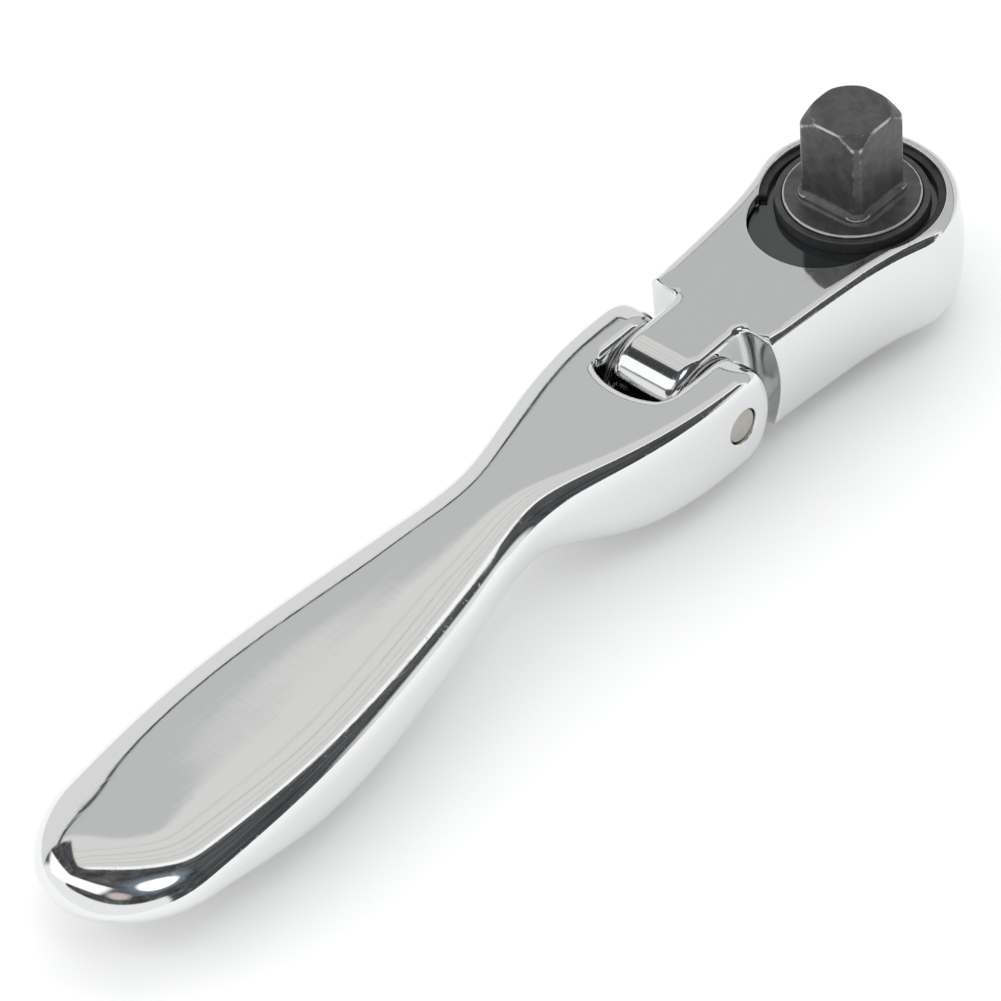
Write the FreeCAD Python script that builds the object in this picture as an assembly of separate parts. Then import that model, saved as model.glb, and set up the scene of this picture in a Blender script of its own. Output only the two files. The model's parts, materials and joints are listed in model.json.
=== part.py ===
import FreeCAD, Part
import math
import os

# Quarter-inch flex-head ratchet wrench, millimetres. +Z points out along the square drive, the
# handle lies towards -X, and the origin is on the drive's axis in the plane of the head's top face.

# head, seen from above and in thickness
HEAD_T = 10.0               # thickness, from the top face at z = 0 down
HEAD_R = 8.6                # radius of the round end, before its edges are rounded
HEAD_BULGE = 0.5            # how far the side walls stand out at mid height
EDGE_IN = 0.97              # rounding of the top edge, measured across the top
EDGE_DOWN = 0.68            # and down the side
BACK_ROUND = 1.6            # rounding of the back edge
FLANK = [(-2.2, 8.1), (-5, 7.4), (-7.5, 7.0), (-10, 6.75), (-13, 6.5), (-16, 6.3), (-20.5, 6.0)]

# opening and gear chamber
OPEN_R = 7.6                # round part of the opening
LOBE_X = -4.14              # centre of the lobe that covers the pawl
LOBE_R = 5.96
COVER_TOP = -1.0
COVER_T = 1.2
COVER_GAP = 0.06
LEDGE_R = 6.35              # gear chamber under the cover
PAWL_ROOM_R = 5.7
FLOOR_Z = -7.2
RING_GROOVE_R = 7.95
RING_T = 0.6
RING_IN_R = 6.95
RING_OPEN_DEG = 54.0        # half angle of the gap in the retaining ring

# drive
SQUARE = 6.35
SQUARE_CHAMFER = 0.52
SQUARE_TOP = 8.65
END_FLAT_R = 3.2            # round flat left by the turned end
FLANGE_R = 5.73
FLANGE_TOP = 0.23
RUN = 0.06                  # running clearance on radii
BUSH_R = 6.365
BUSH_TOP = 0.03
BUSH_FLANGE_R = 6.9
BUSH_FLANGE_T = 0.45
TEETH = 72
TIP_R = 6.15
ROOT_R = 5.8
GEAR_TOP = -2.5
GEAR_BOTTOM = -6.92
STUB_R = 3.95               # lower journal of the drive
STUB_BOTTOM = -8.95
WASHER_T = 0.25
BALL_R = 1.0
BALL_X = SQUARE / 2 - 0.6
BALL_Z = 4.3

# selector and pawl
SEL_X = -8.1
SEL_JOURNAL_R = 1.45
CLIP_R = 1.68
O_RING_WIRE_R = 0.2
SEL_PIVOT_R = 0.95
LEVER_DEG = 20.0            # lever's angle to each side of the middle
ROCK_DEG = 5.0              # pawl's angle to each side of the middle
PAWL_TOP = -2.5
PAWL_BOTTOM = -6.75
PAWL_BOSS_R = 1.7
PAWL_HALF_DEG = 37.0
MESH_GAP = 0.05
PLUNGER_Z = -4.6
O_RING_Z = -8.55

# hinge between head and handle
PIN_X = -22.9
PIN_Z = -HEAD_T / 2
PIN_R = 1.5
KNUCKLE_R = 4.95
TONGUE_HALF = 3.3
TONGUE_ROUND = 0.6
SHOULDER_X = 5.5            # head's hollow shoulders, in front of the pin at mid height
SHOULDER_R = 16.7           # their hollow, seen from the side
SHOULDER_FILLET = 0.9       # fillet between the tongue and a shoulder, seen from above
SLOT_HALF = 3.6
SLOT_R = 7.5                # the slot's floor is part of a ball about the pin
EAR_FRONT = 3.75            # ears reach this far past the pin
WASHER_R = 4.2
FRICTION_T = 0.2            # thickness of the washers beside the tongue
FLEX_BORE_R = 1.3
FLEX_BORE_END = 15.0        # measured back from the pin

# handle sections: distance behind the pin, half width, half thickness, height of the middle above
# the pin, and squareness (2 is an ellipse, 8 almost a rectangle)
SECTIONS = [
    (-5, 7.2, 4.9, 0.0, 8.0),       # fork
    (4, 7.3, 4.9, 0.1, 8.0),
    (12, 6.1, 4.6, 0.5, 5.5),       # shoulder of the fork
    (20, 4.5, 3.3, 1.6, 2.8),       # waist
    (27, 5.3, 3.2, 1.0, 2.8),
    (35, 6.6, 3.5, 0.0, 3.3),
    (50, 8.0, 3.5, -1.2, 4.0),      # palm
    (60, 7.7, 2.8, -1.0, 2.8),      # start of the rounded end
]
HANDLE_L = 69.1             # from the pin to the end of the handle
END_CAP = HANDLE_L - SECTIONS[-1][0]
BLANK_STEPS = 20            # sections drawn along the stations' smooth curves
FORK_HALF_W = SECTIONS[0][1]
FORK_HALF_T = SECTIONS[0][2]


def vec(x, y, z):
    return FreeCAD.Vector(x, y, z)


def tube(outer_r, inner_r, z0, z1, x=0.0):
    ring = Part.makeCylinder(outer_r, z1 - z0, vec(x, 0, z0))
    return ring.cut(Part.makeCylinder(inner_r, z1 - z0, vec(x, 0, z0)))


def disc(radius, z0, z1, x=0.0):
    return Part.makeCylinder(radius, z1 - z0, vec(x, 0, z0))


def cross_rod(radius, half_length):
    """A round bar along Y through the hinge."""
    return Part.makeCylinder(radius, 2 * half_length, vec(PIN_X, -half_length, PIN_Z), vec(0, 1, 0))


def box(x0, x1, y0, y1, z0, z1):
    return Part.makeBox(x1 - x0, y1 - y0, z1 - z0, vec(x0, y0, z0))


def prism(points, z0, z1):
    corners = [vec(x, y, z0) for x, y in points]
    face = Part.Face(Part.makePolygon(corners + corners[:1]))
    return face.extrude(vec(0, 0, z1 - z0))


def turned(shape, degrees, x=0.0):
    """A copy turned about the vertical axis through (x, 0)."""
    copy = shape.copy()
    copy.rotate(vec(x, 0, 0), vec(0, 0, 1), degrees)
    return copy


def coil(start, direction, length, mean_r, wire_r, turns):
    """A round-wire compression spring along a direction, from its start point."""
    pitch = (length - 2 * wire_r) / turns
    helix = Part.makeHelix(pitch, length - 2 * wire_r, mean_r)
    section = Part.Wire(Part.makeCircle(wire_r, vec(mean_r, 0, 0), vec(0, 1, 0)))
    spring = Part.Wire(helix.Edges).makePipeShell([section], True, True)
    turn = FreeCAD.Rotation(vec(0, 0, 1), direction)
    spring.Placement = FreeCAD.Placement(start + direction * wire_r, turn)
    return spring


# ---- handle ----------------------------------------------------------------------------------

def handle_section(s, half_w, half_t, mid, square):
    """One closed smooth outline across the handle, at distance s behind the pin. It starts underneath,
    which keeps the blank's seam away from the pin's hole."""
    points = []
    count = 48
    for i in range(count):
        a = 2 * math.pi * i / count - math.pi / 2
        y = math.copysign(abs(math.cos(a)) ** (2 / square), math.cos(a)) * half_w
        z = math.copysign(abs(math.sin(a)) ** (2 / square), math.sin(a)) * half_t
        points.append(vec(PIN_X - s, y, PIN_Z + mid + z))
    curve = Part.BSplineCurve()
    curve.interpolate(points, PeriodicFlag=True)
    return Part.Wire(curve.toShape())


def station_curve(values):
    """A smooth curve through one column of the stations, against the distance behind the pin."""
    places = [row[0] for row in SECTIONS]
    points = [vec(place, value, 0) for place, value in zip(places, values)]
    curve = Part.BSplineCurve()
    curve.interpolate(Points=points, Parameters=places)
    return curve


def handle_blank():
    columns = list(zip(*SECTIONS))
    curves = [station_curve(values) for values in columns[1:]]
    start = columns[0][0]
    stop = columns[0][-1]
    outlines = []
    for i in range(BLANK_STEPS + 1):
        s = start + (stop - start) * i / BLANK_STEPS
        outlines.append(handle_section(s, *[curve.value(s).y for curve in curves]))
    s, half_w, half_t, mid, square = SECTIONS[-1]
    for q in (0.25, 0.45, 0.62, 0.76, 0.87, 0.95, 0.99):
        w = half_w * math.sqrt(1 - q ** 2)
        t = half_t * math.sqrt(1 - q ** 4)
        outlines.append(handle_section(s + q * END_CAP, w, t, mid, square))
    return Part.makeLoft(outlines, True, False)


def ear_profile():
    """The fork's side view: straight behind the pin, half an ellipse in front of it."""
    half_h = FORK_HALF_T + 0.15
    ellipse = Part.Ellipse(vec(0, half_h, 0), vec(EAR_FRONT, 0, 0), vec(0, 0, 0))
    face = Part.Face(Part.Wire(ellipse.toShape()))
    front = face.extrude(vec(0, 0, 20))
    front.Placement = FreeCAD.Placement(vec(PIN_X, 10, PIN_Z), FreeCAD.Rotation(vec(1, 0, 0), 90))
    back = box(PIN_X - HANDLE_L - 1, PIN_X, -10, 10, PIN_Z - 10, PIN_Z + 10)
    return front.fuse(back)


def make_handle():
    body = handle_blank().common(ear_profile())
    slot = Part.makeSphere(SLOT_R, vec(PIN_X, 0, PIN_Z))
    slot = slot.common(box(PIN_X - 10, PIN_X, -SLOT_HALF, SLOT_HALF, PIN_Z - 10, PIN_Z + 10))
    mouth = box(PIN_X, PIN_X + 10, -SLOT_HALF, SLOT_HALF, PIN_Z - 10, PIN_Z + 10)
    body = body.cut(slot.fuse(mouth))
    body = body.cut(cross_rod(PIN_R, 12))
    bore = Part.makeCylinder(FLEX_BORE_R, FLEX_BORE_END - 5, vec(PIN_X - 5, 0, PIN_Z), vec(-1, 0, 0))
    return body.cut(bore)


def make_hinge_pin():
    pin = cross_rod(PIN_R, FORK_HALF_W - 0.03)
    return pin.makeChamfer(0.12, [e for e in pin.Edges if e.Closed])


def make_friction_washer(side):
    inner = side * (TONGUE_HALF + 0.05)
    washer = Part.makeCylinder(WASHER_R, FRICTION_T, vec(PIN_X, inner, PIN_Z), vec(0, side, 0))
    return washer.cut(cross_rod(PIN_R + RUN, 12))


def make_flex_plunger():
    nose_x = PIN_X - KNUCKLE_R - 0.03
    rod = Part.makeCylinder(FLEX_BORE_R - 0.05, 5.0, vec(nose_x - 5.0, 0, PIN_Z), vec(1, 0, 0))
    tip = max(rod.Edges, key=lambda e: e.BoundBox.XMin)
    return rod.makeFillet(0.7, [tip])


def make_flex_spring():
    start_x = PIN_X - KNUCKLE_R - 5.08
    length = FLEX_BORE_END - KNUCKLE_R - 5.13
    return coil(vec(start_x, 0, PIN_Z), vec(-1, 0, 0), length, 0.9, 0.17, 6)


# ---- head ------------------------------------------------------------------------------------

def head_level(z):
    """How far the side wall stands outside the head's plain outline at height z."""
    t = (z + HEAD_T / 2) / (HEAD_T / 2)
    out = HEAD_BULGE * (1 - t ** 2)
    for across, down, depth in ((EDGE_IN, EDGE_DOWN, -z), (BACK_ROUND, BACK_ROUND, z + HEAD_T)):
        if depth < down:
            out -= across * (1 - math.sqrt(1 - (1 - depth / down) ** 2))
    return out


def head_outline(z):
    grow = head_level(z)
    side = [(x, w + grow) for x, w in reversed(FLANK)]
    arc = [(math.cos(a) * (HEAD_R + grow), math.sin(a) * (HEAD_R + grow))
           for a in (math.radians(d) for d in range(90, -91, -15))]
    mirror = [(x, -y) for x, y in reversed(side)]
    points = [vec(x, y, z) for x, y in side + arc + mirror]
    curve = Part.BSplineCurve()
    curve.interpolate(points)
    return Part.Wire([curve.toShape(), Part.makeLine(points[-1], points[0])])


def head_blank():
    levels = [0, -0.03, -0.12, -0.3, -0.68, -2, -3.5, -5, -6.5, -8, -8.5, -9.1, -9.6, -9.9, -HEAD_T]
    return Part.makeLoft([head_outline(z) for z in levels], True, False)


def teardrop(gap, z0, z1):
    return disc(OPEN_R - gap, z0, z1).fuse(disc(LOBE_R - gap, z0, z1, LOBE_X)).removeSplitter()


def make_tongue():
    """The flat tongue, its round knuckle, and the fillets that lead to the shoulders."""
    half_t = KNUCKLE_R
    root_x = PIN_X + SHOULDER_X
    tongue = box(PIN_X, root_x + 0.5, -TONGUE_HALF, TONGUE_HALF, PIN_Z - half_t, PIN_Z + half_t)
    long_edges = [e for e in tongue.Edges if e.BoundBox.XLength > 1]
    knuckle = cross_rod(half_t, TONGUE_HALF)
    rims = [e for e in knuckle.Edges if e.Closed]
    tongue = tongue.makeFillet(TONGUE_ROUND, long_edges).fuse(knuckle.makeFillet(TONGUE_ROUND, rims))
    hollow_x = root_x - SHOULDER_FILLET
    width = TONGUE_HALF + SHOULDER_FILLET
    root_t = half_t - TONGUE_ROUND
    root = box(hollow_x, root_x, -width, width, PIN_Z - root_t, PIN_Z + root_t)
    for side in (-1, 1):
        root = root.cut(disc(SHOULDER_FILLET, -HEAD_T, 0, hollow_x).translated(vec(0, side * width, 0)))
    return tongue.fuse(root)


def make_head_body():
    middle = vec(PIN_X + SHOULDER_X - SHOULDER_R, -12, PIN_Z)
    body = head_blank().cut(Part.makeCylinder(SHOULDER_R, 24, middle, vec(0, 1, 0)))
    body = body.common(box(PIN_X, 20, -12, 12, -HEAD_T, 0))
    body = body.fuse(make_tongue()).removeSplitter()
    body = body.cut(cross_rod(PIN_R + RUN, 12))
    cover_seat = COVER_TOP - COVER_T
    body = body.cut(teardrop(0, cover_seat, 1))
    body = body.cut(disc(RING_GROOVE_R, COVER_TOP, COVER_TOP + RING_T))
    chamber = disc(LEDGE_R, FLOOR_Z, cover_seat).fuse(disc(PAWL_ROOM_R, FLOOR_Z, cover_seat, LOBE_X))
    body = body.cut(chamber.removeSplitter())
    body = body.cut(disc(STUB_R + RUN, STUB_BOTTOM - 0.1, FLOOR_Z))
    return body.cut(disc(SEL_JOURNAL_R + RUN, -HEAD_T - 1, FLOOR_Z, SEL_X))


def make_cover_plate():
    plate = teardrop(COVER_GAP, COVER_TOP - COVER_T, COVER_TOP)
    plate = plate.cut(disc(BUSH_R, -5, 1))
    return plate.cut(disc(BUSH_FLANGE_R, COVER_TOP - COVER_T, COVER_TOP - COVER_T + BUSH_FLANGE_T))


def make_retaining_ring():
    ring = tube(RING_GROOVE_R - 0.05, RING_IN_R, COVER_TOP, COVER_TOP + RING_T)
    reach = 12.0
    half = math.radians(RING_OPEN_DEG)
    gap = [(0, 0), (-reach, reach * math.tan(half)), (-reach, -reach * math.tan(half))]
    return ring.cut(prism(gap, -3, 1))


def make_drive_bushing():
    bottom = COVER_TOP - COVER_T
    bush = disc(BUSH_R, bottom, BUSH_TOP)
    bush = bush.fuse(disc(BUSH_FLANGE_R, bottom, bottom + BUSH_FLANGE_T))
    return bush.cut(disc(FLANGE_R + RUN, -5, 1))


def make_thrust_washer():
    return tube(5.2, STUB_R + RUN, FLOOR_Z, FLOOR_Z + WASHER_T)


# ---- drive -----------------------------------------------------------------------------------

def tooth_ring(tip_r, root_r, z0, z1):
    """A disc with pointed teeth all round; a tooth space lies on every fifth degree."""
    points = []
    for i in range(TEETH):
        for radius, part in ((root_r, 0.0), (tip_r, 0.5)):
            a = 2 * math.pi * (i + part) / TEETH
            points.append((radius * math.cos(a), radius * math.sin(a)))
    return prism(points, z0, z1)


def square_bar():
    half = SQUARE / 2
    c = SQUARE_CHAMFER
    corner = [(half, half - c), (half - c, half)]
    points = []
    for turns in range(4):
        a = math.radians(90 * turns)
        for x, y in corner:
            points.append((x * math.cos(a) - y * math.sin(a), x * math.sin(a) + y * math.cos(a)))
    bar = prism(points, FLANGE_TOP - 0.5, SQUARE_TOP)
    reach = 3.0
    cone = Part.makeCone(END_FLAT_R + reach, END_FLAT_R, reach, vec(0, 0, SQUARE_TOP - reach))
    return bar.common(cone.fuse(disc(END_FLAT_R + reach, -5, SQUARE_TOP - reach)))


def ball_hole():
    return Part.makeCylinder(BALL_R + 0.04, 5.0, vec(-0.9, 0, BALL_Z), vec(1, 0, 0))


def make_drive_gear():
    gear = tooth_ring(TIP_R, ROOT_R, GEAR_BOTTOM, GEAR_TOP)
    gear = gear.fuse(disc(FLANGE_R, GEAR_TOP, FLANGE_TOP))
    gear = gear.fuse(disc(STUB_R, STUB_BOTTOM, GEAR_BOTTOM))
    base = Part.makeCone(4.75, 4.15, 0.6, vec(0, 0, FLANGE_TOP))
    skirt = 2 * (SQUARE / 2 + 0.35)
    base = base.common(box(-skirt / 2, skirt / 2, -skirt / 2, skirt / 2, -1, 2))
    gear = gear.fuse(base).fuse(square_bar())
    return gear.cut(ball_hole())


def make_socket_ball():
    return Part.makeSphere(BALL_R, vec(BALL_X, 0, BALL_Z))


def make_ball_spring():
    start = vec(-0.85, 0, BALL_Z)
    return coil(start, vec(1, 0, 0), BALL_X - BALL_R + 0.8, 0.62, 0.12, 4)


# ---- selector and pawl -----------------------------------------------------------------------

def pawl_blank():
    """The pawl in its middle position: a boss on the selector and a crescent along the gear."""
    boss = disc(PAWL_BOSS_R, PAWL_BOTTOM, PAWL_TOP, SEL_X)
    crescent = tube(7.35, TIP_R - 0.7, PAWL_BOTTOM, PAWL_TOP)
    reach = 12.0
    spread = reach * math.tan(math.radians(PAWL_HALF_DEG))
    crescent = crescent.common(prism([(0, 0), (-reach, spread), (-reach, -spread)], -9, 0))
    web = box(SEL_X, -5.6, -1.5, 1.5, PAWL_BOTTOM, PAWL_TOP)
    return boss.fuse(crescent).fuse(web)


def make_pawl():
    pawl = turned(pawl_blank(), -ROCK_DEG, SEL_X)
    meshed = tooth_ring(TIP_R + MESH_GAP, ROOT_R + MESH_GAP, -9, 0)
    away = turned(meshed, -2 * ROCK_DEG, SEL_X)
    pawl = pawl.cut(meshed).cut(away)
    relief = disc(TIP_R + 0.35, -9, 0).common(box(-9, 0, -1.9, 1.9, -9, 0))
    pawl = pawl.cut(turned(relief, -ROCK_DEG, SEL_X))
    pawl = pawl.cut(disc(SEL_PIVOT_R + 0.05, -9, 0, SEL_X))
    groove = disc(1.22, PLUNGER_Z - 0.55, PLUNGER_Z + 0.55, SEL_X)
    groove = groove.common(box(SEL_X - 2, SEL_X - 0.3, -2, 2, -9, 0))
    return pawl.cut(groove)


def lever_plan(half_root, half_tip, x0, x1, z0, z1):
    arm = prism([(x0, -half_root), (x1, -half_tip), (x1, half_tip), (x0, half_root)], z0, z1)
    return arm.fuse(disc(half_tip, z0, z1, x1))


def make_reverse_lever():
    """Disc, thumb tab and stepped shaft, turned to the side that it is set to."""
    top = -HEAD_T - 0.12
    plate = disc(2.9, top - 1.5, top, SEL_X).fuse(lever_plan(2.3, 1.5, SEL_X, 0.6, top - 1.5, top))
    tab = lever_plan(1.75, 1.5, -1.6, 0.6, top - 2.1, top - 1.5)
    lever = plate.fuse(tab).fuse(disc(SEL_JOURNAL_R, top, FLOOR_Z - 0.05, SEL_X))
    lever = lever.fuse(disc(SEL_PIVOT_R, FLOOR_Z - 0.05, PAWL_TOP + 0.1, SEL_X))
    for x in (-1.3, -0.5, 0.3, 1.1):
        rib_gap = Part.makeCylinder(0.2, 6, vec(x, -3, top - 2.1), vec(0, 1, 0))
        lever = lever.cut(rib_gap)
    groove_r = SEL_JOURNAL_R + RUN - 2 * O_RING_WIRE_R - 0.02
    lever = lever.cut(tube(SEL_JOURNAL_R + 1, groove_r, O_RING_Z - 0.25, O_RING_Z + 0.25, SEL_X))
    lever = lever.cut(tube(SEL_PIVOT_R + 1, 0.78, FLOOR_Z + 0.05, FLOOR_Z + 0.33, SEL_X))
    cross_hole = Part.makeCylinder(0.42, 1.6, vec(SEL_X + 0.5, 0, PLUNGER_Z), vec(-1, 0, 0))
    return turned(lever.cut(cross_hole), -LEVER_DEG, SEL_X)


def make_selector_clip():
    clip = tube(CLIP_R, 0.8, FLOOR_Z + 0.07, FLOOR_Z + 0.27, SEL_X)
    clip = clip.cut(box(SEL_X - 0.6, SEL_X + 0.6, 0, 4, -9, 0))
    return turned(clip, -LEVER_DEG, SEL_X)


def make_selector_o_ring():
    mean_r = SEL_JOURNAL_R + RUN - O_RING_WIRE_R - 0.01
    return Part.makeTorus(mean_r, O_RING_WIRE_R, vec(SEL_X, 0, O_RING_Z))


def make_selector_plunger():
    rod = Part.makeCylinder(0.4, 0.75, vec(SEL_X - 0.42, 0, PLUNGER_Z), vec(-1, 0, 0))
    nose = min(rod.Edges, key=lambda e: e.BoundBox.XMax)
    return turned(rod.makeFillet(0.25, [nose]), -LEVER_DEG, SEL_X)


def make_selector_spring():
    spring = coil(vec(SEL_X - 0.4, 0, PLUNGER_Z), vec(1, 0, 0), 0.86, 0.27, 0.06, 3)
    return turned(spring, -LEVER_DEG, SEL_X)


# ---- every piece -----------------------------------------------------------------------------

PIECES = {
    "handle": make_handle,
    "hinge_pin": make_hinge_pin,
    "friction_washer_left": lambda: make_friction_washer(1),
    "friction_washer_right": lambda: make_friction_washer(-1),
    "flex_plunger": make_flex_plunger,
    "flex_plunger_spring": make_flex_spring,
    "head_body": make_head_body,
    "cover_plate": make_cover_plate,
    "cover_retaining_ring": make_retaining_ring,
    "drive_bushing": make_drive_bushing,
    "gear_thrust_washer": make_thrust_washer,
    "drive_gear": make_drive_gear,
    "socket_ball": make_socket_ball,
    "socket_ball_spring": make_ball_spring,
    "pawl": make_pawl,
    "reverse_lever": make_reverse_lever,
    "selector_clip": make_selector_clip,
    "selector_o_ring": make_selector_o_ring,
    "selector_plunger": make_selector_plunger,
    "selector_plunger_spring": make_selector_spring,
}


def main():
    os.makedirs("parts", exist_ok=True)
    for name, make in PIECES.items():
        shape = make()
        if len(shape.Solids) == 1:
            shape = shape.Solids[0]
        shape.exportStep("parts/" + name + ".step")
        print(name, shape.ShapeType, shape.isValid(), round(shape.Volume, 2), shape.BoundBox)


main()
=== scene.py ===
import json
import math

import bpy
import numpy as np
from mathutils import Matrix, Vector

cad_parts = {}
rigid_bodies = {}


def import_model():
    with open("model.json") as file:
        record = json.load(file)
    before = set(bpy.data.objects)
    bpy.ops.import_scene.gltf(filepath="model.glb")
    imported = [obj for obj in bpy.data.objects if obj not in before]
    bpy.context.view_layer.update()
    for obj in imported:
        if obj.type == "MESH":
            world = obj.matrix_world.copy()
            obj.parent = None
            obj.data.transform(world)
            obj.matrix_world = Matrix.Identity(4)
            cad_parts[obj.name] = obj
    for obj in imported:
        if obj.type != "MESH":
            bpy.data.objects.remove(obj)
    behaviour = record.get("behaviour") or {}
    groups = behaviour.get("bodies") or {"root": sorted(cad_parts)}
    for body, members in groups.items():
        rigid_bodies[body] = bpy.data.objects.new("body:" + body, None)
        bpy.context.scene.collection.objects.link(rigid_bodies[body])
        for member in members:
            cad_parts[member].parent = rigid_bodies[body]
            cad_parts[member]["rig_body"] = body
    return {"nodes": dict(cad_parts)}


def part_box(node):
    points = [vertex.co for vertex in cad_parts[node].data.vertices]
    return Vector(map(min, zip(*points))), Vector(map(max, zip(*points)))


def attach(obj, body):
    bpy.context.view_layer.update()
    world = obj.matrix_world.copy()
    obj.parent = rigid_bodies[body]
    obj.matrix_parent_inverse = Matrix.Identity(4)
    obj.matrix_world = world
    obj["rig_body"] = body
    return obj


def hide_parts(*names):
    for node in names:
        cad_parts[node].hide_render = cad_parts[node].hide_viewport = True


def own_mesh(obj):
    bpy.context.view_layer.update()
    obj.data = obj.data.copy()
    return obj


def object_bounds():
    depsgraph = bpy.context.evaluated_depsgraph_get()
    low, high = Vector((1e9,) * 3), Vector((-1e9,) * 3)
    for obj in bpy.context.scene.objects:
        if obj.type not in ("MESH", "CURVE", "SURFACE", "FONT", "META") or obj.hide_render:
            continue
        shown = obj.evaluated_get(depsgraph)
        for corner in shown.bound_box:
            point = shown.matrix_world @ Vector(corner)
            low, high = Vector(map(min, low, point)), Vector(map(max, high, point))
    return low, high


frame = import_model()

# A short flex-head ratchet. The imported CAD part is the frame. Each polished or blackened piece gets
# a fine skin here: a dense copy of its CAD solid whose points are drawn onto an exact rounded form,
# so that reflections run as smoothly as on real plating. Forms are worked out in millimetres, in
# the part's own frame: +Z out along the square drive, handle towards -X.

MM = 1000.0                  # millimetres in a metre
cad_box = [list(corner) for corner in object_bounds()]


def box_mm(node):
    """Lowest and highest corner of a CAD node, in millimetres."""
    low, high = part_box(node)
    return np.array(low) * MM, np.array(high) * MM


# ---- sizes read from the frame -----------------------------------------------------------------

pin_low, pin_high = box_mm("hinge_pin")
PIN_X = (pin_low[0] + pin_high[0]) / 2
PIN_Z = (pin_low[2] + pin_high[2]) / 2
PIN_R = (pin_high[0] - pin_low[0]) / 2
HANDLE_END = box_mm("handle")[0][0]
EAR_FRONT = box_mm("handle")[1][0] - PIN_X
HEAD_LOW, HEAD_HIGH = box_mm("head_body")
HEAD_T = HEAD_HIGH[2] - HEAD_LOW[2]
COVER_LOW, COVER_HIGH = box_mm("cover_plate")
RING_LOW, RING_HIGH = box_mm("cover_retaining_ring")
BUSH_LOW, BUSH_HIGH = box_mm("drive_bushing")
DRIVE_LOW, DRIVE_HIGH = box_mm("drive_gear")
LEVER_LOW, LEVER_HIGH = box_mm("reverse_lever")

# ---- sizes of the forms ------------------------------------------------------------------------

# handle: distance behind the pin, half width, half thickness, height of the middle above the pin,
# and squareness (2 is an ellipse, 8 almost a rectangle)
SECTIONS = np.array([
    (-5, 7.2, 4.9, 0.0, 8.0), (4, 7.3, 4.9, 0.1, 8.0), (12, 6.1, 4.6, 0.5, 5.5),
    (20, 4.5, 3.3, 1.6, 2.8), (27, 5.3, 3.2, 1.0, 2.8), (35, 6.6, 3.5, 0.0, 3.3),
    (50, 8.0, 3.5, -1.2, 4.0), (60, 7.7, 2.8, -1.0, 2.8),
])
EAR_HALF_H = 5.05
EAR_ROUND = 1.0
SLOT_HALF = 3.6
PIN_RING = 0.08              # dark ring left round the pin's end
SLOT_R = 7.5                 # the slot's floor is part of a ball about the pin
SLOT_ROUND = 1.1
FLEX_BORE_R = 1.3
FLEX_BORE = (5.0, 15.0)      # from and to, behind the pin

# head
HEAD_R = 8.6
HEAD_BULGE = 0.5
EDGE_IN = 0.97               # top edge's rounding, across the top
EDGE_DOWN = 0.68             # and down the side
RIM_EDGE_IN = 0.62           # narrower round the opening, which leaves the rim a flat
BACK_ROUND = 1.6
FLANK = np.array([(0, 8.6), (2.2, 8.1), (5, 7.4), (7.5, 7.0), (10, 6.75), (13, 6.5), (16, 6.3),
                  (20.5, 6.0)])
SHOULDER_X = 5.5             # hollow shoulders in front of the pin
SHOULDER_R = 16.7
SHOULDER_ROUND = 0.2
SHOULDER_FILLET = 0.9
KNUCKLE_R = 4.95
TONGUE_HALF = 3.3
TONGUE_UNDER = 0.6           # rounding of the tongue's edges on the back
OPEN_R = 7.6
LOBE_X = -4.14
LOBE_R = 5.96
RIM_ROUND = 0.14
GROOVE_R = 7.95
LEDGE_R = 6.35
PAWL_ROOM_R = 5.7
FLOOR_Z = -7.2
STUB_BORE_R = 4.01
STUB_BORE_Z = -9.05
SELECTOR_X = -8.1
SELECTOR_BORE_R = 1.51
COVER_SEAT = COVER_LOW[2]

# drive and its collar
SQUARE_HALF = 3.175
SQUARE_CHAMFER = 0.52
SQUARE_ROUND = 0.12
END_FLAT_R = 3.2
END_ROUND = 0.12
FLANGE_R = 5.73
FLANGE_TOP = 0.23
SKIRT_HALF = SQUARE_HALF + 0.35
GEAR_TOP = -2.5
BALL_HOLE_R = 1.04
BALL_Z = 4.3
BUSH_BORE_R = 5.79
BUSH_R = 6.365
BUSH_FLANGE_R = 6.9
BUSH_FLANGE_T = 0.45
RING_IN_R = 6.95
RING_OPEN_DEG = 54.0

# reversing lever on the back
LEVER_DEG = -20.0
LEVER_TOP = -HEAD_T - 0.12
LEVER_T = 1.5
TAB_T = 2.1
LEVER_TIP_X = 0.6
TAB_X = -1.6
GRIP_X = (-1.3, -0.5, 0.3, 1.1)
GRIP_R = 0.2
LEVER_ROUND = 0.4
HUB_R = 2.9
ARM_HALF = (2.3, 1.5)        # at the hub and at the tip
TAB_HALF = 1.75

# camera: degrees and millimetres; it looks at a point at the pin's height
CAMERA_AZIMUTH = -44.83
CAMERA_ELEVATION = 43.56
CAMERA_ROLL = -4.98
CAMERA_BEHIND_PIN = 18.14
CAMERA_ASIDE = 2.25
CAMERA_DISTANCE = 390.4
CAMERA_LENS = 179.82


# ---- exact forms: negative inside, in millimetres ----------------------------------------------

def rounded_max(a, b, radius):
    """Both forms at once, with their meeting edge rounded."""
    inside = np.minimum(np.maximum(a, b), -radius)
    return inside + np.hypot(np.maximum(a + radius, 0), np.maximum(b + radius, 0))


def rounded_min(a, b, radius):
    """Either form, with a fillet where they meet."""
    return -rounded_max(-a, -b, radius)


def cut(form, hole, radius):
    return rounded_max(form, -hole, radius)


def smooth_step(t):
    t = np.clip(t, 0, 1)
    return t * t * (3 - 2 * t)


def disc(p, radius, x=0.0):
    """An endless upright bar."""
    return np.hypot(p[:, 0] - x, p[:, 1]) - radius


def slab(p, low, high, radius, form):
    """A form kept between two heights."""
    return rounded_max(rounded_max(form, p[:, 2] - high, radius), low - p[:, 2], radius)


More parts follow.
